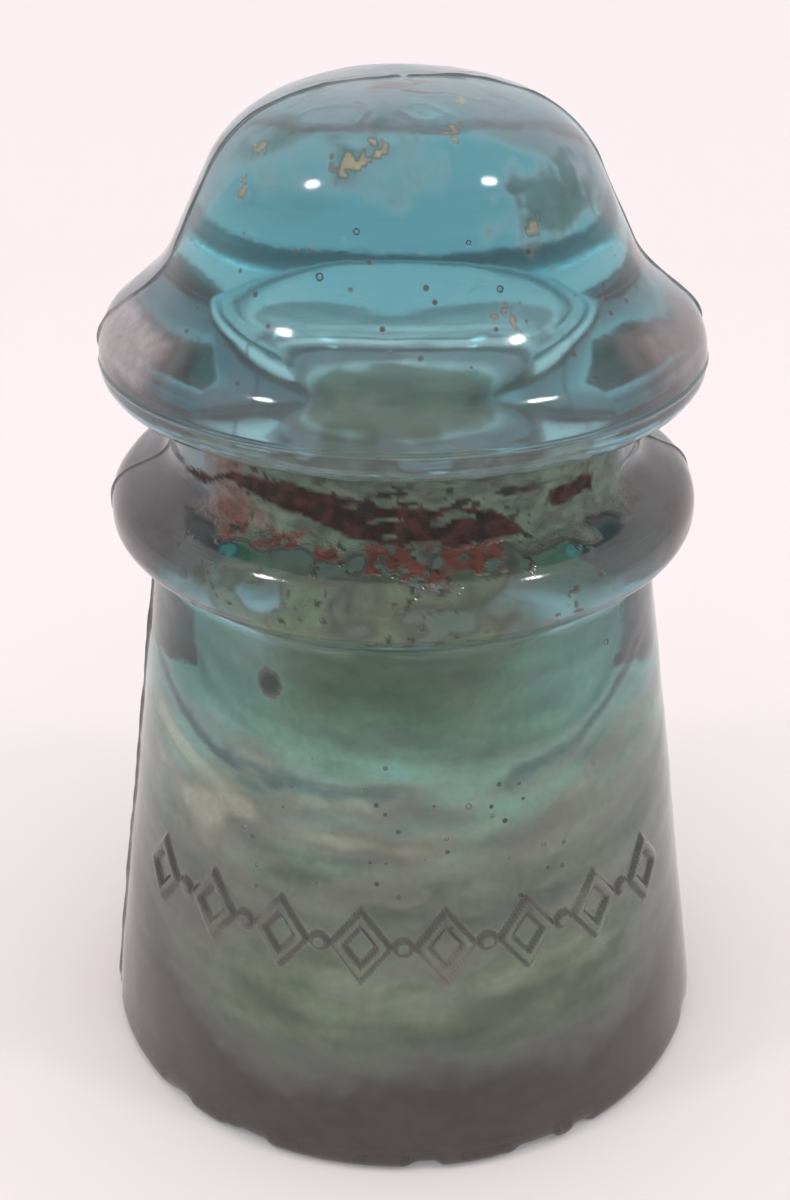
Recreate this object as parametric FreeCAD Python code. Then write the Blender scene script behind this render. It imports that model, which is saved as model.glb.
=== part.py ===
import FreeCAD, Part
import math
import os

# Glass pin insulator of the small telephone ("pony") kind: one piece of pressed
# glass. Units are millimetres. +Z is up, the origin is the middle of the base rim,
# and the two mould seams lie close to the X axis.

V = FreeCAD.Vector
UP = V(0, 0, 1)

# ---- overall size -----------------------------------------------------------
HEIGHT = 88.9               # 3 1/2 in, base rim to top of the dome
SKIRT_RADIUS = 28.72        # corner of the flared skirt before its edge is rounded

# ---- outside outline: (radius, height, radius of the rounding at that corner) ----
DOME_FLAT = (6.6, HEIGHT, 21.0)
DOME_SHOULDER = (14.2, 85.85, 10.6)
DOME_FOOT = (19.9, 74.1, 8.6)
FLANGE_TOP = (25.4, 69.5, 4.0)
FLANGE_BOTTOM = (25.4, 64.75, 2.2)
GROOVE_TOP = (20.1, 63.5, 2.0)
GROOVE_BOTTOM = (20.1, 57.95, 2.2)
RIDGE_TOP = (25.45, 55.6, 3.1)
RIDGE_BOTTOM = (25.45, 51.65, 2.7)
SKIRT_TOP = (21.9, 49.25, 1.6)
SKIRT_EDGE = (SKIRT_RADIUS, 0.0, 1.2)

# ---- inside of the skirt ----------------------------------------------------
CAVITY_EDGE = (22.4, 0.0, 2.2)
CAVITY_THROAT = (16.9, 29.0, 6.0)
RIM_MIDDLE = 25.4           # radius where the flat of the base rim is split

# ---- threaded pinhole for a 1 in wooden or steel pin, 4 threads to the inch ----
THREAD_PITCH = 25.4 / 4
THREAD_CREST_RADIUS = 12.0  # glass crests, the smallest radius of the hole
THREAD_ROOT_RADIUS = 13.3
THREAD_MOUTH_WIDTH = 2.9    # groove width at the crests
THREAD_ROOT_WIDTH = 1.5     # groove width at the roots
THREAD_START = 34.0         # height where the full thread begins
THREAD_TURN = 150.0         # degrees the spiral is turned about the axis
PINHOLE_SHOULDER = 63.0     # height where the thread stops and the rounded end begins
PINHOLE_END_ROUND = 8.0

# ---- mould seams ------------------------------------------------------------
SEAM_ANGLE = 6.0            # degrees the seam plane is turned from the X axis
SEAM_WIDTH = 0.35
SEAM_HEIGHT = 0.2
PARTING_HEIGHT = 67.05      # horizontal mould line around the widest part of the flange
PARTING_WIDTH = 0.3

# ---- raised marks around the skirt: open lozenges with studs between them ----
MARK_HEIGHT = 22.7          # middle of the row above the base rim
MARK_PROUD = 0.4
LOZENGE_WIDTH = 5.2
LOZENGE_TALL = 6.8
LOZENGE_INNER = 0.56        # size of the open middle as a share of the lozenge
STUD_RADIUS = 0.8
LOZENGES_PER_FACE = 8
MARK_STEP = 16.0            # degrees from one lozenge to the next


def rounded_path(corners):
    """Edges through a list of (radius, height, rounding) corners in the XZ plane."""
    points = [V(r, 0, z) for r, z, rounding in corners]
    edges = []
    start = points[0]
    for i in range(1, len(corners) - 1):
        corner = points[i]
        back = (points[i - 1] - corner).normalize()
        ahead = (points[i + 1] - corner).normalize()
        opening = back.getAngle(ahead)
        cut = corners[i][2] / math.tan(opening / 2)
        middle = (back + ahead).normalize()
        to_centre = corners[i][2] / math.sin(opening / 2)
        first = corner + back * cut
        last = corner + ahead * cut
        crown = corner + middle * (to_centre - corners[i][2])
        if (first - start).Length > 1e-6:
            edges.append(Part.makeLine(start, first))
        edges.append(Part.Arc(first, crown, last).toShape())
        start = last
    edges.append(Part.makeLine(start, points[-1]))
    return edges


def turned(edges):
    """Solid of revolution about Z from a closed ring of edges."""
    face = Part.Face(Part.Wire(edges))
    return face.revolve(V(0, 0, 0), UP, 360)


def outer_corners(proud=0.0):
    """Outside outline from the top of the dome to the base, grown by proud."""
    corners = [(0.0, HEIGHT + proud, 0.0)]
    corners.append((DOME_FLAT[0], DOME_FLAT[1] + proud, DOME_FLAT[2]))
    for r, z, rounding in (DOME_SHOULDER, DOME_FOOT, FLANGE_TOP, FLANGE_BOTTOM,
                           GROOVE_TOP, GROOVE_BOTTOM, RIDGE_TOP, RIDGE_BOTTOM,
                           SKIRT_TOP, SKIRT_EDGE):
        corners.append((r + proud, z, rounding))
    corners.append((RIM_MIDDLE, 0.0, 0.0))
    return corners


def outer_blank(proud=0.0):
    """The insulator as if it were solid glass."""
    edges = rounded_path(outer_corners(proud))
    edges.append(Part.makeLine(V(RIM_MIDDLE, 0, 0), V(0, 0, 0)))
    edges.append(Part.makeLine(V(0, 0, 0), V(0, 0, HEIGHT + proud)))
    return turned(edges)


def skirt_cavity():
    """Bell-shaped hollow under the pinhole, open at the base."""
    corners = [(RIM_MIDDLE, 0.0, 0.0), CAVITY_EDGE, CAVITY_THROAT,
               (THREAD_CREST_RADIUS, THREAD_START, 0.0)]
    edges = rounded_path(corners)
    edges.append(Part.makeLine(V(THREAD_CREST_RADIUS, 0, THREAD_START), V(0, 0, THREAD_START)))
    edges.append(Part.makeLine(V(0, 0, THREAD_START), V(0, 0, 0)))
    edges.append(Part.makeLine(V(0, 0, 0), V(RIM_MIDDLE, 0, 0)))
    return turned(edges)


def plug_core():
    """Round-ended core of the threading plug, without its spiral rib."""
    top = PINHOLE_SHOULDER + PINHOLE_END_ROUND
    bottom = THREAD_START - 3.0
    corners = [(0.0, top, 0.0), (THREAD_CREST_RADIUS, top, PINHOLE_END_ROUND),
               (THREAD_CREST_RADIUS, bottom, 0.0)]
    edges = rounded_path(corners)
    edges.append(Part.makeLine(V(THREAD_CREST_RADIUS, 0, bottom), V(0, 0, bottom)))
    edges.append(Part.makeLine(V(0, 0, bottom), V(0, 0, top)))
    return turned(edges)


def thread_rib():
    """Spiral rib of the threading plug that leaves the thread groove in the glass."""
    buried = 0.6            # depth of the rib's foot inside the plug
    slope = (THREAD_MOUTH_WIDTH - THREAD_ROOT_WIDTH) / (THREAD_ROOT_RADIUS - THREAD_CREST_RADIUS)
    foot_half = (THREAD_MOUTH_WIDTH + slope * buried) / 2
    tip_half = THREAD_ROOT_WIDTH / 2
    bottom = THREAD_START - THREAD_PITCH
    rise = PINHOLE_SHOULDER + THREAD_PITCH - bottom
    spirals = []
    for radius, offset in ((THREAD_CREST_RADIUS - buried, -foot_half),
                           (THREAD_ROOT_RADIUS, -tip_half),
                           (THREAD_ROOT_RADIUS, tip_half),
                           (THREAD_CREST_RADIUS - buried, foot_half)):
        spiral = Part.makeHelix(THREAD_PITCH, rise, radius)
        spiral.translate(V(0, 0, bottom + offset))
        spirals.append(spiral)
    faces = []
    for i in range(4):
        faces += Part.makeRuledSurface(spirals[i], spirals[(i + 1) % 4]).Faces
    for highest in (False, True):
        corners = []
        for spiral in spirals:
            ends = sorted((vertex.Point for vertex in spiral.Vertexes), key=lambda p: p.z)
            corners.append(ends[-1] if highest else ends[0])
        faces.append(Part.Face(Part.makePolygon(corners + [corners[0]])))
    shell = Part.makeShell(faces)
    shell.sewShape()
    rib = Part.makeSolid(shell)
    rib.rotate(V(0, 0, 0), UP, THREAD_TURN)
    return rib


def threading_plug():
    """What is left empty by the tool that is screwed out of the hot glass."""
    bottom = THREAD_START - 3.0
    reach = Part.makeCylinder(THREAD_ROOT_RADIUS + 0.2, PINHOLE_SHOULDER - bottom, V(0, 0, bottom))
    return plug_core().fuse(thread_rib().common(reach))


def seam_fins():
    """Thin upright flash where the two mould halves met, and the mould line ring."""
    grown = outer_blank(SEAM_HEIGHT)
    reach = 2 * SKIRT_RADIUS + 10
    slab = Part.makeBox(reach, SEAM_WIDTH, HEIGHT + 5, V(-reach / 2, -SEAM_WIDTH / 2, 1.5))
    slab.rotate(V(0, 0, 0), UP, SEAM_ANGLE)
    band_bottom = PARTING_HEIGHT - PARTING_WIDTH / 2
    band = Part.makeCylinder(reach, PARTING_WIDTH, V(0, 0, band_bottom))
    return grown.common(slab.fuse(band))


def skirt_prism(outline, angle):
    """Prism with its outline facing out from the axis at the given angle."""
    face = Part.Face(Part.Wire(outline))
    prism = face.extrude(V(0, -12, 0))
    prism.translate(V(0, -20, MARK_HEIGHT))
    prism.rotate(V(0, 0, 0), UP, angle)
    return prism


def diamond(size):
    half_wide = size * LOZENGE_WIDTH / 2
    half_tall = size * LOZENGE_TALL / 2
    loop = Part.makePolygon([V(half_wide, 0, 0), V(0, 0, half_tall), V(-half_wide, 0, 0),
                             V(0, 0, -half_tall), V(half_wide, 0, 0)])
    return loop.Edges


def lozenge(angle):
    outside = skirt_prism(diamond(1.0), angle)
    return outside.cut(skirt_prism(diamond(LOZENGE_INNER), angle))


def stud(angle):
    circle = Part.makeCircle(STUD_RADIUS, V(0, 0, 0), V(0, 1, 0))
    return skirt_prism([circle], angle)


def raised_marks():
    """Row of lozenges with studs between them, on the front and on the back."""
    prisms = []
    for face_angle in (0, 180):
        for i in range(LOZENGES_PER_FACE):
            angle = face_angle + (i - (LOZENGES_PER_FACE - 1) / 2) * MARK_STEP
            prisms.append(lozenge(angle))
            if i:
                prisms.append(stud(angle - MARK_STEP / 2))
    return Part.makeCompound(prisms)


def glass_body():
    blank = outer_blank()
    extras = seam_fins()
    marks = outer_blank(MARK_PROUD).common(raised_marks())
    glass = blank.fuse([extras, marks])
    glass = glass.cut(skirt_cavity().fuse(threading_plug()))
    return glass.removeSplitter()


os.makedirs("parts", exist_ok=True)
glass_body().exportStep("parts/glass_body.step")
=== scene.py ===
import math

import bpy
import numpy as np
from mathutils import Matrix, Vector


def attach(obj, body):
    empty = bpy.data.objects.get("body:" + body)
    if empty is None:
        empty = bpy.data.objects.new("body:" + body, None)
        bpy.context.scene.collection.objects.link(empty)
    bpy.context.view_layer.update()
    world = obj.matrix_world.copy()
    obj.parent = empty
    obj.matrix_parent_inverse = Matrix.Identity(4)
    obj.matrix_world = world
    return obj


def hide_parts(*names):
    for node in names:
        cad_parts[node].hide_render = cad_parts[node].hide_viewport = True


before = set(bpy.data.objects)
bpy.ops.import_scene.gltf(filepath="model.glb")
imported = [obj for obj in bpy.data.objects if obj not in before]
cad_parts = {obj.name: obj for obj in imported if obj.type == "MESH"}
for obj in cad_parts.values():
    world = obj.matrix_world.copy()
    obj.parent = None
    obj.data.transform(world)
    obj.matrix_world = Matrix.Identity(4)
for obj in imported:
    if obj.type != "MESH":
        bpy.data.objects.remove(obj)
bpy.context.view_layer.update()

MM = 0.001

# ---------------------------------------------------------------- sizes, in mm
HEIGHT = 88.9
OUTLINE = [
    (0.0, HEIGHT, 0.0),
    (6.6, HEIGHT, 21.0),
    (14.2, 85.85, 10.6),
    (19.9, 74.1, 8.6),
    (25.4, 69.5, 4.0),
    (25.4, 64.75, 2.2),
    (20.1, 63.5, 2.0),
    (20.1, 57.95, 2.2),
    (25.45, 55.6, 3.1),
    (25.45, 51.65, 2.7),
    (21.9, 49.25, 1.6),
    (28.72, 0.0, 1.2),
    (25.4, 0.0, 0.0),
]
INSIDE = [
    (25.4, 0.0, 0.0),
    (22.4, 0.0, 2.2),
    (16.9, 29.0, 6.0),
    (12.0, 34.0, 0.4),
    (12.0, 71.0, 8.0),
    (0.0, 71.0, 0.0),
]
PARTING_HEIGHT = 67.05
SEAM_LEFT = math.radians(-84.0)      # angles run from the front, to the right
SEAM_RIGHT = math.radians(96.0)
THREAD_PITCH = 6.35
THREAD_DEPTH = 1.3
THREAD_PHASE = 0.69                  # share of a turn, sets where the spiral starts
THREAD_BOTTOM = 33.5
THREAD_TOP = 63.5
MARK_HEIGHT = 22.7
MARK_STEP = math.radians(16.0)
MARKS = 8                            # lozenges on the front, and as many on the back
LOZENGE_HALF_WIDE = 2.6
LOZENGE_HALF_TALL = 3.4

# ------------------------------------------------ dirt, rust and flaws (degrees, mm)
# upper and lower edge of the rust band in the groove: (angle, height)
RUST_TOP = (
    (-64, 59.4), (-50, 60.2), (-44, 61.3), (-25, 61.7), (0, 60.6), (20, 59.9), (27, 58.0),
)
RUST_BOTTOM = (
    (-64, 59.0), (-53, 59.3), (-42, 60.6), (-25, 59.3), (-9, 58.0), (6, 57.4), (27, 57.9),
)
# lower edge of the haze and painted reflection on the dome: (angle to either side, height)
HAZE_AND_REFLECTION_EDGE = (
    (0, 87.0), (30, 86.8), (50, 84.8), (65, 80), (80, 73), (105, 74), (140, 83), (165, 86.5), (180, 87),
)
# orange patches below the rust: (first angle, last angle, lowest, highest)
ORANGE = (
    (-47, -35, 57.3, 59.0),
    (-31, -22, 57.1, 58.1),
    (-18, -12, 57.1, 57.8),
    (-8, 20, 56.4, 57.8),
)
# dark streaks on the skirt: (angle, height) along each
STREAKS = (
    ((-78, 43.5), (-60, 40.0), (-40, 37.2), (-18, 36.2), (0, 36.6)),
    ((20, 36.6), (38, 38.6), (54, 42.0), (70, 45.5)),
)
# dust specks on the dome: angle in degrees, radius, height, size
SPECKS = [
    (-18.2, 13.7, 85.3, 1.5),
    (-12.8, 12.9, 85.9, 1.2),
    (-7.0, 12.2, 86.5, 0.8),
    (20.5, 11.0, 87.1, 1.2),
    (36.0, 7.6, 88.4, 0.9),
    (-51.5, 13.7, 85.3, 0.9),
    (-50.8, 15.7, 82.7, 0.8),
    (36.0, 16.7, 80.7, 1.0),
    (23.8, 19.5, 75.0, 1.3),
]
# bubbles in the glass: angle in degrees, radius from the axis, height, bubble radius
BUBBLES = [
    (-13.0, 15.0, 80.5, 0.28),
    (-21.0, 17.0, 77.5, 0.34),
    (17.0, 16.2, 80.0, 0.22),
    (24.0, 17.2, 76.5, 0.30),
    (-36.0, 22.0, 30.0, 0.25),
    (-32.0, 22.6, 27.0, 0.20),
    (-8.0, 21.5, 36.0, 0.18),
    (9.0, 22.0, 31.5, 0.22),
    (14.0, 21.2, 34.0, 0.30),
    (19.0, 21.8, 33.0, 0.20),
    (31.0, 22.0, 29.0, 0.25),
    (-3.0, 18.0, 72.0, 0.2),
    (52.0, 20.5, 45.0, 0.3),
    (130.0, 21.5, 35.0, 0.3),
    (-140.0, 21.0, 44.0, 0.35),
    (170.0, 17.0, 78.0, 0.3),
    (205.0, 22.5, 28.0, 0.4),
]
DARK_SPECK_TURN = -28.8
DARK_SPECK_HEIGHT = 44.9

# ------------------ colours of the deposits, and of painted reflection and shade: one colour, or a dark and a light one
FILM = (0.26, 0.225, 0.215)
# greyer film towards the sides, as painted reflection
SIDE_FILM_AND_REFLECTION = (0.22, 0.195, 0.21)
# darker towards the foot of the skirt
FOOT_DARKENING = (0.095, 0.072, 0.062)
# pale film with painted reflection of the bright surroundings, on the dome and on the ends of the
# flange
HAZE_AND_REFLECTION = (0.50, 0.45, 0.46)
FLANGE_HAZE_AND_REFLECTION = (0.58, 0.52, 0.53)
DOME_OLIVE = (0.065, 0.105, 0.06)
FLANGE_OLIVE = (0.12, 0.14, 0.04)
PALE_FILM = (0.64, 0.62, 0.53)
GREY_FILM = (0.42, 0.41, 0.36)
BLUE_STREAK = (0.075, 0.15, 0.19)
THIN_CRUST = ((0.11, 0.135, 0.105), (0.22, 0.25, 0.21))
GREEN_CRUST = ((0.062, 0.086, 0.066), (0.155, 0.215, 0.16))
BROWN_CRUST = ((0.13, 0.085, 0.07), (0.22, 0.16, 0.135))
MOSS = (0.14, 0.25, 0.125)
ORANGE_RUST = ((0.085, 0.040, 0.033), (0.155, 0.064, 0.049))
DARK_RUST = ((0.022, 0.009, 0.008), (0.070, 0.028, 0.023))
CRACK_BLACK = (0.020, 0.018, 0.016)
PIT_BLACK = (0.018, 0.020, 0.017)
DUST = (0.54, 0.38, 0.23)
DARK_SPECK = (0.022, 0.045, 0.042)
SEAM_DIRT = (0.02, 0.024, 0.02)
# painted shade on the sides of the raised marks
MARK_SIDE_SHADE = (0.022, 0.026, 0.022)

# grime on the inner wall from the rim up, the wall darker towards the rim: height, colour, how much it
# hides
GRIME = (
    # the lowest rows make the wall darker towards the rim
    (0.0, (0.060, 0.040, 0.044), 0.96),
    (3.0, (0.100, 0.082, 0.055), 0.95),
    (7.0, (0.230, 0.190, 0.090), 0.93),
    (14.0, (0.50, 0.37, 0.195), 0.90),
    (24.0, (0.44, 0.29, 0.18), 0.88),
    (28.5, (0.60, 0.45, 0.30), 0.86),
    (32.5, (0.92, 0.84, 0.55), 0.84),
    (36.5, (0.66, 0.64, 0.38), 0.72),
    (43.0, (0.33, 0.36, 0.14), 0.64),
    (48.0, (0.24, 0.26, 0.12), 0.40),
    (53.0, (0.16, 0.19, 0.13), 0.12),
    (60.0, (0.16, 0.18, 0.15), 0.035),
    (71.0, (0.16, 0.18, 0.16), 0.025),
)

# ----------------------------------------------------------- glass, light and camera
GLASS_IOR = 1.52
GLASS_POLISH = 0.10                  # roughness of clean glass
GLASS_COLOUR = (0.137, 0.64, 0.703, 1.0)
GLASS_DENSITY = 64.0                 # absorption for each metre
SHADOW_COLOUR = (0.87, 0.91, 0.915, 1.0)    # light left after one wall, in shadows
FLOOR_COLOUR = (0.93, 0.88, 0.885)
STUDIO_COLOUR = (1.0, 0.955, 0.962, 1.0)
STUDIO_SIDES = 0.785                 # strength of the soft light at the horizon
STUDIO_TOP = 1.035                   # and straight above
LAMP_DISTANCE = 0.65
LAMP_SIZE = 0.08
LAMP_POWER = 0.48
CAMERA_PLACE = (0.0, -0.1452, 0.11876)
CAMERA_DOWN = math.radians(27.85)    # how far the camera looks down from level
CAMERA_LENS = 53.98
CAMERA_SHIFT = -0.0071


# ------------------------------------------------------------------- noise
def lattice(ix, iy, iz, seed):
    """Random number from -1 to 1 that belongs to a point of the lattice."""
    h = (ix * 374761393 + iy * 668265263 + iz * 2147483647 + seed * 1274126177) & 0xFFFFFFFF
    h = ((h ^ (h >> 13)) * 1274126177) & 0xFFFFFFFF
    h = h ^ (h >> 16)
    return (h & 0xFFFFFF) / float(0xFFFFFF) * 2.0 - 1.0


def lattice_noise(x, y, z, seed):
    """Smooth change from each lattice point's number to the next."""
    ix, iy, iz = (np.floor(v).astype(np.int64) for v in (x, y, z))
    fx, fy, fz = x - ix, y - iy, z - iz
    fx, fy, fz = (f * f * f * (f * (f * 6 - 15) + 10) for f in (fx, fy, fz))
    total = 0.0
    for dx in (0, 1):
        for dy in (0, 1):
            for dz in (0, 1):
                weight = (fx if dx else 1 - fx) * (fy if dy else 1 - fy) * (fz if dz else 1 - fz)
                total = total + weight * lattice(ix + dx, iy + dy, iz + dz, seed)
    return total


def noise(x, y, z, scale, seed):
    """Smooth noise from about -1 to 1 with features about scale mm across.

    Two lattices, each tilted another way, hide the squares that one lattice would show.
    """
    x, y, z = x / scale, y / scale, z / scale
    first = lattice_noise(0.74 * x + 0.53 * y + 0.42 * z + 301.3,
                          -0.66 * x + 0.66 * y + 0.34 * z + 307.7,
                          -0.10 * x - 0.53 * y + 0.84 * z + 311.9, seed)
    second = lattice_noise(1.13 * x - 0.47 * y + 0.37 * z + 331.1,
                           0.31 * x + 1.10 * y + 0.47 * z + 337.5,
                           -0.49 * x - 0.33 * y + 1.13 * z + 347.3, seed + 100)
    return 0.68 * (first + second)


def ease(low, high, value):
    """0 below low, 1 above high, and smooth between them."""
    t = np.clip((value - low) / (high - low), 0.0, 1.0)
    return t * t * (3 - 2 * t)


# ----------------------------------------------------------------- profiles
def rounded(corners):
    """Fine polyline through (radius, height, rounding) corners."""
    out = [np.array(corners[0][:2])]
    for i in range(1, len(corners) - 1):
        corner = np.array(corners[i][:2])
        back = np.array(corners[i - 1][:2]) - corner
        ahead = np.array(corners[i + 1][:2]) - corner
        back /= np.linalg.norm(back)
        ahead /= np.linalg.norm(ahead)
        opening = math.acos(float(back @ ahead))
        rounding = corners[i][2]
        cut = rounding / math.tan(opening / 2)
        middle = back + ahead
        middle /= np.linalg.norm(middle)
        centre = corner + middle * rounding / math.sin(opening / 2)
        first = corner + back * cut - centre
        last = corner + ahead * cut - centre
        a0 = math.atan2(first[1], first[0])
        sweep = (math.atan2(last[1], last[0]) - a0 + math.pi) % (2 * math.pi) - math.pi
        steps = 40
        for k in range(steps + 1):
            a = a0 + sweep * k / steps
            out.append(centre + rounding * np.array([math.cos(a), math.sin(a)]))
    out.append(np.array(corners[-1][:2]))
    fine = [out[0]]
    for a, b in zip(out, out[1:]):
        n = max(1, int(np.linalg.norm(b - a) / 0.05))
        for k in range(1, n + 1):
            fine.append(a + (b - a) * k / n)
    return np.array(fine)


def resample(fine, spacing):
    """Rows along a polyline, spaced as spacing(radius, height, bend) says.

    Returns each row's point, its normal and its distance along the polyline.
    """
    step = np.linalg.norm(np.diff(fine, axis=0), axis=1)
    keep = np.r_[True, step > 1e-9]
    fine = fine[keep]
    step = np.linalg.norm(np.diff(fine, axis=0), axis=1)
    length = np.r_[0, np.cumsum(step)]
    along = np.gradient(fine, length, axis=0)
    along /= np.linalg.norm(along, axis=1)[:, None]
    angle = np.unwrap(np.arctan2(along[:, 1], along[:, 0]))
    bend = np.abs(np.gradient(angle, length))
    bend = np.convolve(bend, np.ones(9) / 9, mode="same")
    wanted = spacing(fine[:, 0], fine[:, 1], bend)
    count = np.r_[0, np.cumsum(step * 0.5 * (1 / wanted[1:] + 1 / wanted[:-1]))]
    rows = int(round(count[-1]))
    places = np.interp(np.linspace(0, count[-1], rows + 1), count, length)
    points = np.c_[np.interp(places, length, fine[:, 0]), np.interp(places, length, fine[:, 1])]
    normals = np.c_[np.interp(places, length, along[:, 1]), np.interp(places, length, -along[:, 0])]
    normals /= np.linalg.norm(normals, axis=1)[:, None]
    return points, normals, places


def outer_spacing(r, z, bend):
    """Gap between mesh rows: small at the marks, the groove, the mould line and the bends."""
    s = np.full(len(r), 0.95)
    s = np.where((z > 18.4) & (z < 27.0), 0.23, s)
    s = np.where((z >= 27.0) & (z < 49.5), 0.42, s)
    s = np.where((z > 49.0), 0.5, s)
    s = np.where((z > 52.0) & (z < 66.5), 0.27, s)
    s = np.where(bend > 0.03, np.minimum(s, 0.36), s)
    s = np.where(np.abs(z - PARTING_HEIGHT) < 0.4, 0.12, s)
    return s


def inner_spacing(r, z, bend):
    """Gap between mesh rows: small at the thread and the bends."""
    s = np.full(len(r), 1.0)
    s = np.where((z > 31.0) & (z < 71.0) & (r > 7), 0.5, s)
    s = np.where(bend > 0.03, np.minimum(s, 0.45), s)
    return s


def column_angles():
    """Angles of the mesh columns: closest at the mould seams, then across the marks."""
    fine = np.linspace(-math.pi, math.pi, 20001)
    step = np.full(len(fine), math.radians(2.2))
    for middle, size in ((0.0, 0.52), (math.pi, 1.3), (-math.pi, 1.3)):
        step = np.where(np.abs(fine - middle) < math.radians(64), math.radians(size), step)
    for seam in (SEAM_LEFT, SEAM_RIGHT):
        step = np.where(np.abs(fine - seam) < math.radians(1.2), math.radians(0.25), step)
    wander = (fine > SEAM_LEFT) & (fine < SEAM_LEFT + math.radians(9.2))
    step = np.where(wander, math.radians(0.35), step)
    count = np.r_[0, np.cumsum(np.diff(fine) / step[1:])]
    columns = int(round(count[-1]))
    return np.interp(np.arange(columns) / columns * count[-1], count, fine)


# ------------------------------------------------------------ surface relief
def seam_bump(angle, radius, seam, width):
    """Upright ridge at the seam's angle, 1 at its middle."""
    away = np.abs((angle - seam + math.pi) % (2 * math.pi) - math.pi) * radius
    return np.exp(-(away / width) ** 2)


def mark_relief(angle, r, z):
    """Height of the open lozenges and studs, from 0 to 1."""
    relief = np.zeros_like(z)
    for face in (0.0, math.pi):
        for i in range(MARKS):
            middle = face + (i - (MARKS - 1) / 2) * MARK_STEP
            across = ((angle - middle + math.pi) % (2 * math.pi) - math.pi) * r
            up = z - MARK_HEIGHT
            size = np.abs(across) / LOZENGE_HALF_WIDE + np.abs(up) / LOZENGE_HALF_TALL
            edge = 1 - ease(0.0, 0.26, np.abs(size - 0.76) - 0.09)
            relief = np.maximum(relief, edge)
            if i:
                across = ((angle - middle + MARK_STEP / 2 + math.pi) % (2 * math.pi) - math.pi) * r
                relief = np.maximum(relief, 1 - ease(0.45, 1.0, np.hypot(across, up)))
    return relief


def seam_angle(z):
    """Angle of the left seam: it wanders a little towards the front over the dome."""
    return SEAM_LEFT + math.radians(8.0) * ease(68.0, 77.0, z)


def outer_relief(angle, r, z):
    """How far the real surface stands out from the smooth outline, in mm."""
    x, y = r * np.sin(angle), -r * np.cos(angle)
    wave = 0.13 * noise(x, y, z, 13.0, 1) + 0.055 * noise(x, y, z, 5.0, 2)
    ripple = 0.012 * noise(x * 0.2, y * 0.2, z, 1.1, 3) * (1 - ease(46.0, 52.0, z))
    fold = np.abs(noise(x * 0.6, y, z, 2.6, 6))
    fold = 0.04 * (1 - ease(0.0, 0.25, fold)) * ease(87.0, 88.3, z)
    fade = ease(0.0, 3.0, z)
    ragged = 0.5 + 0.5 * noise(x, y, z, 2.2, 4)
    left = seam_bump(angle, r, seam_angle(z), 0.22) * (0.12 + 0.16 * ragged)
    fin = 0.25 * np.exp(-((z - 68.3) / 1.3) ** 2)
    right = seam_bump(angle, r, SEAM_RIGHT, 0.22) * (0.10 + 0.14 * ragged + fin)
    front = 0.15 + 0.85 * ease(-0.2, 0.4, np.cos(angle))
    line = np.where(r > 24.8, 0.16 + 0.06 * ragged, 0.0) * front
    line = line * np.exp(-((z - PARTING_HEIGHT) / 0.16) ** 2)
    marks = 0.42 * mark_relief(angle, r, z)
    chip = 0.7 * seam_bump(angle, r, SEAM_LEFT, 1.1) * np.exp(-((z - 66.2) / 0.9) ** 2)
    broken = ease(0.15, 0.6, noise(x, y, 0 * z, 3.2, 7)) * np.exp(-(z / 1.3) ** 2)
    seams = (left + right) * ease(0.6, 2.0, z)
    return (wave + ripple) * fade + seams + line + marks + fold - chip - 0.55 * broken


def inner_relief(angle, r, z):
    """Gentle unevenness of the inner wall, in mm."""
    x, y = r * np.sin(angle), -r * np.cos(angle)
    return 0.12 * noise(x, y, z, 9.0, 11) * ease(0.0, 4.0, z) * ease(0, 5, r)


def thread_depth(angle, z):
    """Depth of the thread groove, which fades out at both ends."""
    turn = (z / THREAD_PITCH - angle / (2 * math.pi) - THREAD_PHASE + 0.5) % 1.0 - 0.5
    groove = 1 - ease(0.75, 1.45, np.abs(turn) * THREAD_PITCH)
    ends = ease(THREAD_BOTTOM, THREAD_BOTTOM + 2, z) * (1 - ease(THREAD_TOP - 2, THREAD_TOP, z))
    return THREAD_DEPTH * groove * ends


# ------------------------------------------------------------------- deposits
def window(value, low, high, soft):
    """1 between low and high, easing to 0 over soft on either side of each."""
    return ease(low - soft, low + soft, value) * (1 - ease(high - soft, high + soft, value))


def blend(share, a, b):
    """Colour between a and b."""
    a, b = np.asarray(a, float), np.asarray(b, float)
    return a + (b - a) * np.asarray(share)[..., None]


class Coat:
    """What lies on one side of the glass.

    tint is its colour, cover how much it hides, crust how thick and rough it is,
    and pitted how many small pits are in it.
    """

    def __init__(self, tint, cover):
        self.tint = tint
        self.cover = cover
        self.crust = np.zeros_like(cover)
        self.pitted = np.zeros_like(cover)

    def add(self, mask, colour, hides, crust=0.0):
        """Lays one more deposit over the rest where mask is 1."""
        self.tint = blend(mask, self.tint, colour)
        self.cover = self.cover + (hides - self.cover) * mask
        self.crust = np.maximum(self.crust * (1 - mask * (crust == 0)), mask * crust)


class Surface:
    """Places on the outside of the glass, with the noise that the deposits share."""

    def __init__(self, angle, r, z):
        self.angle = angle
        self.r = r
        self.z = z
        self.x = r * np.sin(angle)
        self.y = -r * np.cos(angle)
        self.turn = np.degrees(angle)
        self.coarse = self.noise(7.0, 21)
        self.middle = self.noise(2.2, 22)
        self.fine = self.noise(0.9, 23)
        self.streak = self.noise(0.8, 24, 0.4)
        self.flake = self.noise(0.6, 26, 0.5)
        self.ragged = 0.6 * self.middle + 0.5 * self.fine
        self.rough = 0.45 * self.middle + 0.3 * self.fine + 0.45 * self.flake

    def noise(self, scale, seed, squeeze=1.0):
        """Noise over the surface. A squeeze below 1 draws its patches out sideways."""
        return noise(self.x * squeeze, self.y * squeeze, self.z, scale, seed)


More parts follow.
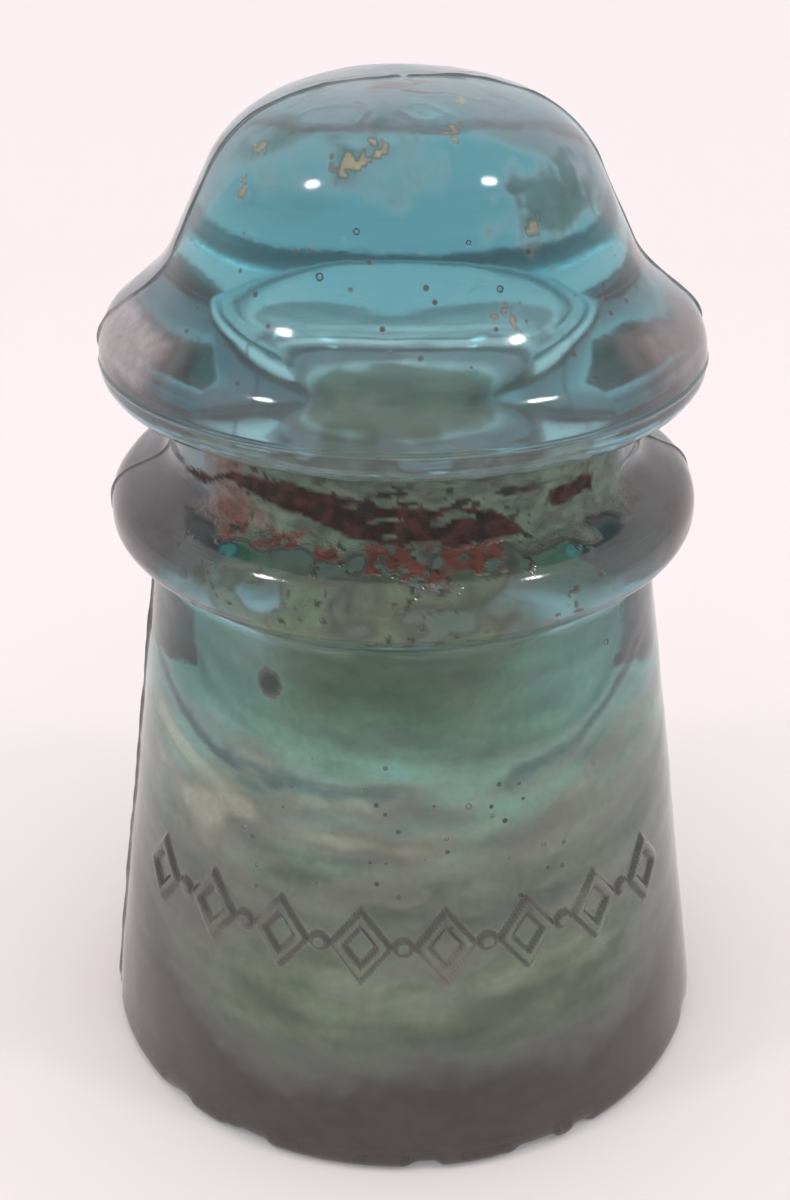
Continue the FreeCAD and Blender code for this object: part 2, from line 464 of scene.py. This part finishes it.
def weathered_film(s):
    """Thin film, thickest on the flange and the ridge, with more of it towards the left and right sides
    as painted reflection, and darker towards the foot of the skirt.
    """
    proud = ease(23.6, 25.0, s.r) * ease(50.0, 52.0, s.z)
    foot = 1 - ease(-2.0, 15.0, s.z + 3 * s.coarse + 1.2 * s.middle)
    # towards the left and right sides the film is thicker, as painted reflection of the bright
    # surroundings where the skirt and the ridge are seen edge-on
    side = 0.30 * ease(32.0, 72.0, -s.turn) + 0.17 * ease(38.0, 75.0, s.turn)
    side = side * np.maximum(1 - ease(14.0, 30.0, s.z), window(s.z, 49.5, 60.0, 2.0))
    hides = 0.03 + 0.05 * proud + 0.03 * s.coarse + 0.02 * s.streak + side
    hides = hides * (1 - 0.8 * ease(73.0, 79.0, s.z)) + 0.45 * foot
    tint = blend(side / 0.30, FILM, SIDE_FILM_AND_REFLECTION)
    return Coat(blend(foot, tint, FOOT_DARKENING), np.clip(hides, 0.0, 1.0))


def add_haze_and_reflection(coat, s):
    """Pale haze over the top and the sides of the dome, and on both ends of the flange: real film,
    lightened as painted reflection of the bright surroundings where the glass is seen edge-on.
    """
    limit = np.interp(np.abs(s.turn), *zip(*HAZE_AND_REFLECTION_EDGE))
    haze = ease(-0.5, 0.5, s.z + 0.5 * s.middle - limit) * (0.7 + 0.5 * s.coarse)
    ends = window(np.abs(s.turn), 50.0, 84.0, 7.0) * window(s.z + 0.5 * s.middle, 68.0, 72.2, 0.8)
    coat.add(np.clip(haze, 0, 1), HAZE_AND_REFLECTION, 0.30)
    coat.add(ends * np.where(s.turn < 0, 1.0, 0.7), FLANGE_HAZE_AND_REFLECTION, 0.5)


def add_olive_stains(coat, s):
    """Olive stains on the dome and on the lower half of the flange."""
    across = s.turn + 8.0 * s.middle + 6.0 * s.fine
    up = s.z + 0.9 * s.middle + 0.5 * s.fine
    stain = window(across, -64.0, 8.0, 6.0) * window(up, 83.2, 86.9, 0.6)
    stain = np.maximum(stain, window(across, 27.0, 62.0, 6.0) * window(up, 79.8, 84.6, 0.6))
    coat.add(stain * ease(-1.4, 0.2, s.coarse + 0.5 * s.middle), DOME_OLIVE, 0.19)
    stain = window(s.turn, -30.0, 14.0, 8.0) * window(s.z, 67.0, 69.6, 0.7)
    coat.add(stain * ease(-0.5, 0.5, s.middle + 0.6 * s.coarse), FLANGE_OLIVE, 0.17)


def add_skirt_films(coat, s):
    """Pale swirls on the skirt, and dark blue streaks that slant down to its middle."""
    swirl = noise(s.x * 0.35, s.y * 0.35, s.z - 0.35 * s.y - 0.15 * s.x, 2.2, 29)
    band = window(s.turn, -78.0, 8.0, 16.0) + 0.6 * window(s.turn, 20.0, 78.0, 14.0)
    band = band * window(s.z + 2.0 * s.coarse + 0.6 * s.streak, 29.5, 38.5, 2.0)
    band = band * ease(-0.7, 0.5, swirl)
    coat.add(0.95 * np.clip(band, 0, 1), PALE_FILM, 0.36)
    veil = window(s.z + 1.5 * s.coarse, 15.0, 30.0, 4.0) * ease(0.0, 0.7, swirl + 0.4 * s.middle)
    coat.add(0.8 * veil, GREY_FILM, 0.22)
    for path in STREAKS:
        first, last = path[0][0], path[-1][0]
        away = s.z - np.interp(s.turn, *zip(*path)) + 0.5 * s.middle
        mask = np.exp(-(away / 0.75) ** 2) * window(s.turn, first, last, 5.0)
        coat.add(0.8 * mask, BLUE_STREAK, 0.34)


def add_crust(coat, s):
    """Crust that fills most of the groove on the front: brown at its left end, then green."""
    mask = window(s.turn, -44.0, 34.0, 6.0) * window(s.z + 0.2 * s.middle, 63.5, 66.85, 0.15)
    mask = mask * ease(-0.5, 0.4, s.middle + 0.5 * s.streak)
    coat.add(mask, blend(ease(-0.5, 0.5, s.middle), *THIN_CRUST), 0.42, 0.1)
    mask = window(s.turn, -50.0, 60.0, 5.0) * window(s.z + 0.5 * s.middle, 57.2, 65.0, 0.5)
    mask = mask * (0.72 + 0.28 * ease(-0.5, -0.2, s.rough))
    green = blend(ease(-0.7, 0.8, 0.7 * s.flake + 0.6 * s.middle), *GREEN_CRUST)
    brown = blend(ease(-0.5, 0.6, s.fine), *BROWN_CRUST)
    crust = blend(ease(-38.0, -32.0, s.turn + 6 * s.middle), brown, green)
    coat.add(mask, crust, 0.94, 0.7)


def add_moss(coat, s):
    """Yellow-green mottling on the ridge."""
    mask = window(s.turn + 6 * s.middle, -34.0, 22.0, 7.0) * window(s.z + s.middle, 50.5, 56.4, 0.7)
    mask = mask * ease(-0.4, 0.5, s.coarse + 0.6 * s.middle + 0.2)
    coat.add(0.8 * mask, MOSS, 0.72, 0.15)


def add_rust(coat, s):
    """Orange patches, and above them the dark rust left by a tie wire."""
    for first, last, lowest, highest in ORANGE:
        mask = window(s.turn + 3.0 * s.ragged, first, last, 0.8)
        mask = mask * window(s.z + 0.7 * s.ragged, lowest, highest, 0.12)
        mask = mask * ease(-0.35, -0.1, s.fine + 0.6 * s.flake)
        coat.add(mask, blend(ease(-0.5, 0.5, s.fine), *ORANGE_RUST), 0.9, 0.35)
    top = np.interp(s.turn, *zip(*RUST_TOP))
    bottom = np.interp(s.turn, *zip(*RUST_BOTTOM))
    mask = ease(-0.12, 0.12, top + 0.45 * s.rough - s.z)
    mask = mask * ease(-0.12, 0.12, s.z - bottom + 0.3 * s.ragged)
    mask = mask * window(s.turn, -63.0, 27.0, 1.0)
    patch = window(s.turn + 4 * s.ragged, 36.0, 50.0, 1.0)
    patch = patch * window(s.z + 0.6 * s.ragged, 59.1, 60.8, 0.15)
    islands = ease(0.3, 0.42, s.noise(0.8, 25, 0.4)) * ease(-16.0, -6.0, s.turn)
    mask = np.maximum(mask * (1 - islands), patch)
    coat.add(mask, blend(ease(-0.3, 0.6, s.fine + 0.3 * s.middle), *DARK_RUST), 0.98, 1.0)


def add_cracks_and_pits(coat, s):
    """Thin black cracks through the crust, and black pits in all the deposits there."""
    cracks = ease(0.34, 0.46, s.noise(0.55, 28, 0.3)) * window(s.turn, -20.0, 33.0, 6.0)
    coat.add(cracks * window(s.z, 58.6, 62.6, 0.6), CRACK_BLACK, 0.96, 0.8)
    pits = ease(0.42, 0.52, s.noise(0.55, 27)) * window(s.turn, -45.0, 35.0, 8.0)
    pits = pits * window(s.z, 50.5, 64.0, 1.5) * ease(-0.1, 0.3, s.middle)
    coat.add(0.9 * pits, PIT_BLACK, 0.95, 0.5)


def add_specks(coat, s):
    """Dust specks on the dome, and the dark speck high on the left of the skirt."""
    crumb = s.noise(0.5, 31)
    for degrees, radius, level, size in SPECKS:
        a = math.radians(degrees)
        beside = s.x - radius * math.sin(a)
        behind = s.y + radius * math.cos(a)
        far = np.sqrt(beside ** 2 + behind ** 2 + (s.z - level) ** 2)
        mask = 1 - ease(size * 0.35, size * 0.7, far + 0.8 * s.fine + 0.7 * crumb)
        coat.add(0.8 * mask, DUST, 0.55)
    away = np.hypot(np.radians(s.turn - DARK_SPECK_TURN) * s.r, s.z - DARK_SPECK_HEIGHT)
    coat.add(1 - ease(0.75, 1.35, away + 0.15 * s.fine), DARK_SPECK, 0.8)


def add_seam_dirt_and_mark_shade(coat, s):
    """Dirt held along the mould seams, painted shade round the raised marks, and a worn back."""
    left = seam_bump(s.angle, s.r, seam_angle(s.z), 0.16)
    right = 0.8 * seam_bump(s.angle, s.r, SEAM_RIGHT, 0.16)
    ring = np.exp(-((s.z - PARTING_HEIGHT + 0.2) / 0.1) ** 2)
    ring = np.where(s.r > 24.8, ring, 0.0) * ease(-0.2, 0.4, np.cos(s.angle))
    seams = np.maximum(left, right)
    seams = seams * np.where(s.angle > 0, 1 - ease(55.0, 66.0, s.z), ease(9.0, 12.0, s.r))
    coat.add(np.maximum(seams, 0.5 * ring) * ease(-0.9, -0.1, s.middle), SEAM_DIRT, 0.92)
    # the back of the flange and of the dome's foot is worn dull
    dull = ease(100.0, 120.0, np.abs(s.turn)) * window(s.z, 64.5, 78.0, 1.5)
    coat.crust = np.maximum(coat.crust, 0.35 * dull)
    # painted shade on the sides of each raised mark, darkest halfway up them
    marks = mark_relief(s.angle, s.r, s.z)
    coat.add(3.6 * marks * (1 - marks), MARK_SIDE_SHADE, 0.85)


def pitted_areas(s):
    """Where small round pits are scattered over the skirt and the foot of the dome."""
    pitted = window(s.turn, -30.0, 42.0, 9.0) * window(s.z, 24.5, 38.5, 3.0)
    pitted = np.maximum(pitted, 0.8 * window(s.z, 71.0, 79.0, 3.0))
    return pitted * ease(-0.6, 0.2, s.middle + 0.5 * s.coarse)


def outer_coat(angle, r, z):
    """Everything that lies on the outside of the glass, from the lowest layer up."""
    surface = Surface(angle, r, z)
    coat = weathered_film(surface)
    for add_layer in (add_haze_and_reflection, add_olive_stains, add_skirt_films, add_crust, add_moss, add_rust,
                      add_cracks_and_pits, add_specks, add_seam_dirt_and_mark_shade):
        add_layer(coat, surface)
    coat.pitted = pitted_areas(surface)
    return coat


def inner_coat(angle, r, z):
    """Grime on the inner wall, in bands that run round it and slant a little, and the wall darker
    towards the rim.
    """
    x, y = r * np.sin(angle), -r * np.cos(angle)
    coarse = noise(x, y, z, 8.0, 31)
    slant = z + 2.4 * np.sin(angle + 0.5)
    streak = noise(x * 0.3, y * 0.3, slant, 1.8, 32)
    level = z + (3.2 * coarse + 1.6 * streak) * ease(0.0, 6.0, z)
    heights, colours, hides = zip(*GRIME)
    tint = np.stack([np.interp(level, heights, channel) for channel in zip(*colours)], axis=-1)
    cover = np.interp(level, heights, hides)
    uneven = 1 + 0.52 * streak + 0.12 * noise(x, y, z, 2.5, 33)
    tint = tint * np.clip(uneven, 0.3, 1.5)[..., None]
    behind = ease(1.4, 1.9, np.abs(angle)) * ease(38.0, 44.0, z)
    tint = np.clip(tint * (1 - 0.45 * behind)[..., None], 0.02, 0.95)
    cover = cover + 0.12 * noise(x, y, slant, 5.0, 34) * ease(24.0, 34.0, z)
    return Coat(tint, np.clip(cover, 0.0, 0.97))


def add_bubbles(verts, faces):
    """Adds small closed hollows, facing into themselves, to the glass mesh."""
    verts = [verts]
    count = len(verts[0])
    rings, sides = 8, 14
    for degrees, radius, height, size in BUBBLES:
        turn = math.radians(degrees)
        middle = np.array([radius * math.sin(turn), -radius * math.cos(turn), height])
        points = [middle + [0, 0, size]]
        for i in range(1, rings):
            tilt = math.pi * i / rings
            for k in range(sides):
                a = 2 * math.pi * k / sides
                level = math.sin(tilt)
                step = (level * math.cos(a), level * math.sin(a), math.cos(tilt))
                points.append(middle + size * np.array(step))
        points.append(middle - [0, 0, size])
        for k in range(sides):
            n = (k + 1) % sides
            faces.append((count, count + 1 + n, count + 1 + k))
            for i in range(rings - 2):
                p = count + 1 + i * sides
                faces.append((p + k, p + n, p + sides + n, p + sides + k))
            p = count + 1 + (rings - 2) * sides
            faces.append((p + k, p + n, count + 1 + (rings - 1) * sides))
        verts.append(np.array(points) * MM)
        count += len(points)
    return np.vstack(verts), faces


# -------------------------------------------------------------------- glass
def build_glass():
    """One closed mesh: outside and inside as one sheet of rows and columns, with bubbles."""
    angles = column_angles()
    outer, outer_n, outer_s = resample(rounded(OUTLINE), outer_spacing)
    inner, inner_n, inner_s = resample(rounded(INSIDE), inner_spacing)
    columns = len(angles)

    def grid(points):
        turn, radius = np.meshgrid(angles, points[:, 0])
        height = np.meshgrid(angles, points[:, 1])[1]
        return turn, radius, height

    def shifted(turn, radius, height, normals, lift):
        radius = radius + normals[:, :1] * lift
        height = height + normals[:, 1:] * lift
        return np.stack([radius * np.sin(turn), -radius * np.cos(turn), height], axis=-1)

    # the outline runs from the dome down and the inside from the rim up, so the
    # left-hand normals point into the glass on both
    outside = grid(outer[1:-1])
    out_rows = shifted(*outside, -outer_n[1:-1], outer_relief(*outside))
    hollow = grid(inner[:-1])
    on_thread = (hollow[1] > 10) & (hollow[1] < 14) & (inner_n[:-1, :1] < -0.7)
    lift = inner_relief(*hollow) - thread_depth(hollow[0], hollow[2]) * on_thread
    in_rows = shifted(*hollow, -inner_n[:-1], lift)
    coats = (outer_coat(*outside), inner_coat(*hollow))

    top = np.array([[0, 0, outer[0][1]]])
    end = np.array([[0, 0, inner[-1][1]]])
    verts = np.vstack([top, out_rows.reshape(-1, 3), in_rows.reshape(-1, 3), end]) * MM
    rows = len(out_rows) + len(in_rows)
    tip = len(verts) - 1
    last = 1 + (rows - 1) * columns
    faces = []
    places = []          # (column, row) of every face corner, for the flat map
    for c in range(columns):
        faces.append((0, 1 + c, 1 + (c + 1) % columns))
        places += [(c + 0.5, -1), (c, 0), (c + 1, 0)]
    for row in range(rows - 1):
        a = 1 + row * columns
        b = a + columns
        for c in range(columns):
            d = (c + 1) % columns
            faces.append((a + c, b + c, b + d, a + d))
            places += [(c, row), (c, row + 1), (c + 1, row + 1), (c + 1, row)]
    for c in range(columns):
        faces.append((last + c, tip, last + (c + 1) % columns))
        places += [(c, rows - 1), (c + 0.5, rows), (c + 1, rows - 1)]
    shell = len(verts)
    verts, faces = add_bubbles(verts, faces)

    mesh = bpy.data.meshes.new("glass_body_visual")
    mesh.from_pydata(verts.tolist(), [], faces)
    mesh.update()
    inside = np.zeros(len(verts), dtype=np.float32)
    inside[1 + len(out_rows) * columns:shell] = 1.0
    values = {"inside": inside}
    for name in ("cover", "crust", "pitted"):
        full = np.zeros(len(verts), dtype=np.float32)
        full[1:shell - 1] = np.concatenate([getattr(coat, name).ravel() for coat in coats])
        full[shell - 1] = full[shell - 2]
        values[name] = full
    for name, full in values.items():
        layer = mesh.attributes.new(name, "FLOAT", "POINT")
        layer.data.foreach_set("value", full)
    tint = np.full((len(verts), 3), 0.5, dtype=np.float32)
    tint[1:shell - 1] = np.vstack([coat.tint.reshape(-1, 3) for coat in coats])
    tint[shell - 1] = tint[shell - 2]
    layer = mesh.attributes.new("tint", "FLOAT_VECTOR", "POINT")
    layer.data.foreach_set("vector", tint.ravel())

    # flat map: around the axis one way, along the outline and then the inside the other
    reach = np.r_[0, outer_s[1:-1], outer_s[-1] + inner_s[:-1], outer_s[-1] + inner_s[-1]]
    places = np.array(places, dtype=float)
    flat = np.zeros((len(mesh.loops), 2), dtype=np.float32)
    flat[:len(places), 0] = 0.002 + 0.996 * places[:, 0] / columns
    flat[:len(places), 1] = 0.998 - 0.98 * reach[places[:, 1].astype(int) + 1] / reach[-1]
    flat[len(places):] = (0.5, 0.006)
    mesh.uv_layers.new(name="OFBake").data.foreach_set("uv", flat.ravel())

    for polygon in mesh.polygons:
        polygon.use_smooth = True
    glass = bpy.data.objects.new("glass_body_visual", mesh)
    bpy.context.scene.collection.objects.link(glass)
    return glass


# ---------------------------------------------------------------- materials
class Graph:
    """Small helper that makes shader nodes and links their sockets."""

    def __init__(self, name):
        self.material = bpy.data.materials.new(name)
        self.material.use_nodes = True
        self.tree = self.material.node_tree
        self.tree.nodes.clear()
        self.out = self.node("ShaderNodeOutputMaterial")

    def node(self, kind, **settings):
        n = self.tree.nodes.new(kind)
        for key, value in settings.items():
            setattr(n, key, value)
        return n

    def put(self, socket, value):
        """Links another node's socket, or sets a plain value."""
        if isinstance(value, bpy.types.NodeSocket):
            self.tree.links.new(value, socket)
        else:
            socket.default_value = value

    def attribute(self, name, output):
        return self.node("ShaderNodeAttribute", attribute_name=name).outputs[output]

    def math(self, operation, a, b, clamp=False):
        n = self.node("ShaderNodeMath", operation=operation, use_clamp=clamp)
        self.put(n.inputs[0], a)
        self.put(n.inputs[1], b)
        return n.outputs[0]

    def ramp(self, value, low, high, to_low=0.0, to_high=1.0):
        n = self.node("ShaderNodeMapRange", interpolation_type="SMOOTHSTEP")
        for i, v in enumerate((value, low, high, to_low, to_high)):
            self.put(n.inputs[i], v)
        return n.outputs[0]

    def noise(self, where, scale, detail, rough):
        n = self.node("ShaderNodeTexNoise")
        self.put(n.inputs["Vector"], where)
        self.put(n.inputs["Scale"], scale)
        self.put(n.inputs["Detail"], detail)
        self.put(n.inputs["Roughness"], rough)
        return n.outputs["Fac"]

    def mix(self, share, a, b):
        n = self.node("ShaderNodeMix", data_type="RGBA")
        self.put(n.inputs[0], share)
        self.put(n.inputs[6], a)
        self.put(n.inputs[7], b)
        return n.outputs[2]


def glass_material():
    """Aqua glass with deposits: their patches come from the mesh, their fine grain from here."""
    g = Graph("aqua_glass")
    where = g.node("ShaderNodeTexCoord").outputs["Object"]
    inside = g.attribute("inside", "Fac")
    cover = g.attribute("cover", "Fac")
    crust = g.attribute("crust", "Fac")
    pitted = g.attribute("pitted", "Fac")
    tint = g.attribute("tint", "Color")
    cloud = g.noise(where, 240.0, 3.0, 0.6)
    grain = g.noise(where, 1100.0, 3.0, 0.65)

    # the edges of the deposits are broken up, and their colour is mottled
    loose = g.math("MULTIPLY", g.math("SUBTRACT", cloud, 0.5), 0.5)
    loose = g.math("ADD", 1.0, g.math("MULTIPLY", loose, g.math("SUBTRACT", 1.0, crust)))
    solid = g.math("MULTIPLY", cover, loose, clamp=True)

    # small round pits, one at most in each cell
    cells = g.node("ShaderNodeTexVoronoi")
    g.put(cells.inputs["Vector"], where)
    cells.inputs["Scale"].default_value = 560.0
    pit = g.math("MULTIPLY", g.ramp(cells.outputs["Distance"], 0.09, 0.16, 1.0, 0.0), pitted)
    solid = g.math("MAXIMUM", solid, g.math("MULTIPLY", pit, 0.75))
    speckle = g.math("ADD", 0.62, g.math("MULTIPLY", grain, 0.76))
    speckle = g.math("MULTIPLY", speckle, g.math("SUBTRACT", 1.0, g.math("MULTIPLY", pit, 0.85)))
    scaled = g.node("ShaderNodeVectorMath", operation="SCALE")
    g.put(scaled.inputs[0], tint)
    g.put(scaled.inputs["Scale"], speckle)
    colour = g.mix(g.ramp(solid, 0.0, 0.25), (0.97, 0.99, 0.985, 1.0), scaled.outputs[0])

    # the glass lets light through only where nothing covers it
    p = g.node("ShaderNodeBsdfPrincipled")
    g.put(p.inputs["Base Color"], colour)
    g.put(p.inputs["Transmission Weight"], g.math("SUBTRACT", 1.0, solid))
    rough = g.math("MULTIPLY", g.math("MULTIPLY", cover, cover), g.math("MULTIPLY", inside, 0.5))
    rough = g.math("ADD", GLASS_POLISH, rough)
    g.put(p.inputs["Roughness"], g.math("MAXIMUM", rough, g.math("MULTIPLY", crust, 0.75)))
    p.inputs["IOR"].default_value = GLASS_IOR

    relief = g.math("MULTIPLY", cloud, 0.10)
    relief = g.math("ADD", relief, g.math("MULTIPLY", crust, g.math("MULTIPLY", grain, 1.3)))
    bump = g.node("ShaderNodeBump")
    bump.inputs["Strength"].default_value = 0.8
    bump.inputs["Distance"].default_value = 0.0004
    g.put(bump.inputs["Height"], relief)
    g.put(p.inputs["Normal"], bump.outputs[0])

    # shadows of glass are light and tinted
    passing = g.node("ShaderNodeBsdfTransparent")
    passing.inputs["Color"].default_value = SHADOW_COLOUR
    choose = g.node("ShaderNodeMixShader")
    shadow = g.node("ShaderNodeLightPath").outputs["Is Shadow Ray"]
    clear_share = g.math("SUBTRACT", 1.0, g.math("MULTIPLY", solid, 0.65))
    g.put(choose.inputs[0], g.math("MULTIPLY", shadow, clear_share))
    g.tree.links.new(p.outputs[0], choose.inputs[1])
    g.tree.links.new(passing.outputs[0], choose.inputs[2])
    g.tree.links.new(choose.outputs[0], g.out.inputs["Surface"])
    v = g.node("ShaderNodeVolumeAbsorption")
    v.inputs["Color"].default_value = GLASS_COLOUR
    v.inputs["Density"].default_value = GLASS_DENSITY
    g.tree.links.new(v.outputs[0], g.out.inputs["Volume"])
    return g.material


def plain_material(name, colour, roughness):
    """Plain matt surface, for the floor only."""
    g = Graph(name)
    p = g.node("ShaderNodeBsdfPrincipled")
    p.inputs["Base Color"].default_value = (*colour, 1.0)
    p.inputs["Roughness"].default_value = roughness
    g.tree.links.new(p.outputs[0], g.out.inputs["Surface"])
    return g.material


# ------------------------------------------------------------- the insulator
glass = build_glass()
glass.data.materials.append(glass_material())
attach(glass, "root")
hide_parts("glass_body")


# --------------------------------------------------------- floor, light, camera
def add_floor():
    """Pale sweep: flat floor that curves up into a wall behind."""
    front, back, radius, half = -0.35, 0.24, 0.1, 0.6
    outline = [(front, 0.0), (back, 0.0)]
    for k in range(1, 17):
        a = math.pi / 2 * k / 16
        outline.append((back + radius * math.sin(a), radius - radius * math.cos(a)))
    outline.append((back + radius, 0.46))
    verts = []
    for y, z in outline:
        verts += [(-half, y, z), (half, y, z)]
    faces = [(2 * i, 2 * i + 1, 2 * i + 3, 2 * i + 2) for i in range(len(outline) - 1)]
    mesh = bpy.data.meshes.new("floor")
    mesh.from_pydata(verts, [], faces)
    for polygon in mesh.polygons:
        polygon.use_smooth = True
    floor = bpy.data.objects.new("floor", mesh)
    bpy.context.scene.collection.objects.link(floor)
    mesh.materials.append(plain_material("floor_paper", FLOOR_COLOUR, 0.7))


def add_lamp(name, direction):
    """Small round lamp in the given direction, aimed at the middle of the insulator."""
    data = bpy.data.lights.new(name, "AREA")
    data.shape = "DISK"
    data.size = LAMP_SIZE
    data.energy = LAMP_POWER
    data.color = (1.0, 1.0, 0.99)
    lamp = bpy.data.objects.new(name, data)
    aim = Vector((0, 0, 0.05))
    lamp.location = aim + Vector(direction).normalized() * LAMP_DISTANCE
    lamp.rotation_euler = (aim - lamp.location).to_track_quat("-Z", "Y").to_euler()
    bpy.context.scene.collection.objects.link(lamp)


def add_studio_light():
    """Soft light from all round, a little stronger from above than from the sides."""
    world = bpy.data.worlds.new("studio")
    world.use_nodes = True
    tree = world.node_tree
    background = tree.nodes["Background"]
    background.inputs["Color"].default_value = STUDIO_COLOUR
    direction = tree.nodes.new("ShaderNodeTexCoord")
    split = tree.nodes.new("ShaderNodeSeparateXYZ")
    power = tree.nodes.new("ShaderNodeMapRange")
    power.inputs["To Min"].default_value = STUDIO_SIDES
    power.inputs["To Max"].default_value = STUDIO_TOP
    tree.links.new(direction.outputs["Generated"], split.inputs[0])
    tree.links.new(split.outputs["Z"], power.inputs["Value"])
    tree.links.new(power.outputs["Result"], background.inputs["Strength"])
    bpy.context.scene.world = world


def add_camera():
    data = bpy.data.cameras.new("camera")
    data.sensor_fit = "AUTO"
    data.sensor_width = 36.0
    data.lens = CAMERA_LENS
    data.shift_x = CAMERA_SHIFT
    data.clip_start = 0.01
    camera = bpy.data.objects.new("camera", data)
    camera.location = CAMERA_PLACE
    camera.rotation_euler = (math.pi / 2 - CAMERA_DOWN, 0.0, 0.0)
    bpy.context.scene.collection.objects.link(camera)
    bpy.context.scene.camera = camera


add_floor()
add_lamp("lamp_left", (-0.61, -0.26, 0.75))
add_lamp("lamp_right", (0.57, -0.22, 0.79))
add_studio_light()
add_camera()

scene = bpy.context.scene
scene.view_settings.view_transform = "Standard"
scene.cycles.max_bounces = 16
scene.cycles.transmission_bounces = 16
scene.cycles.glossy_bounces = 8
scene.cycles.transparent_max_bounces = 16
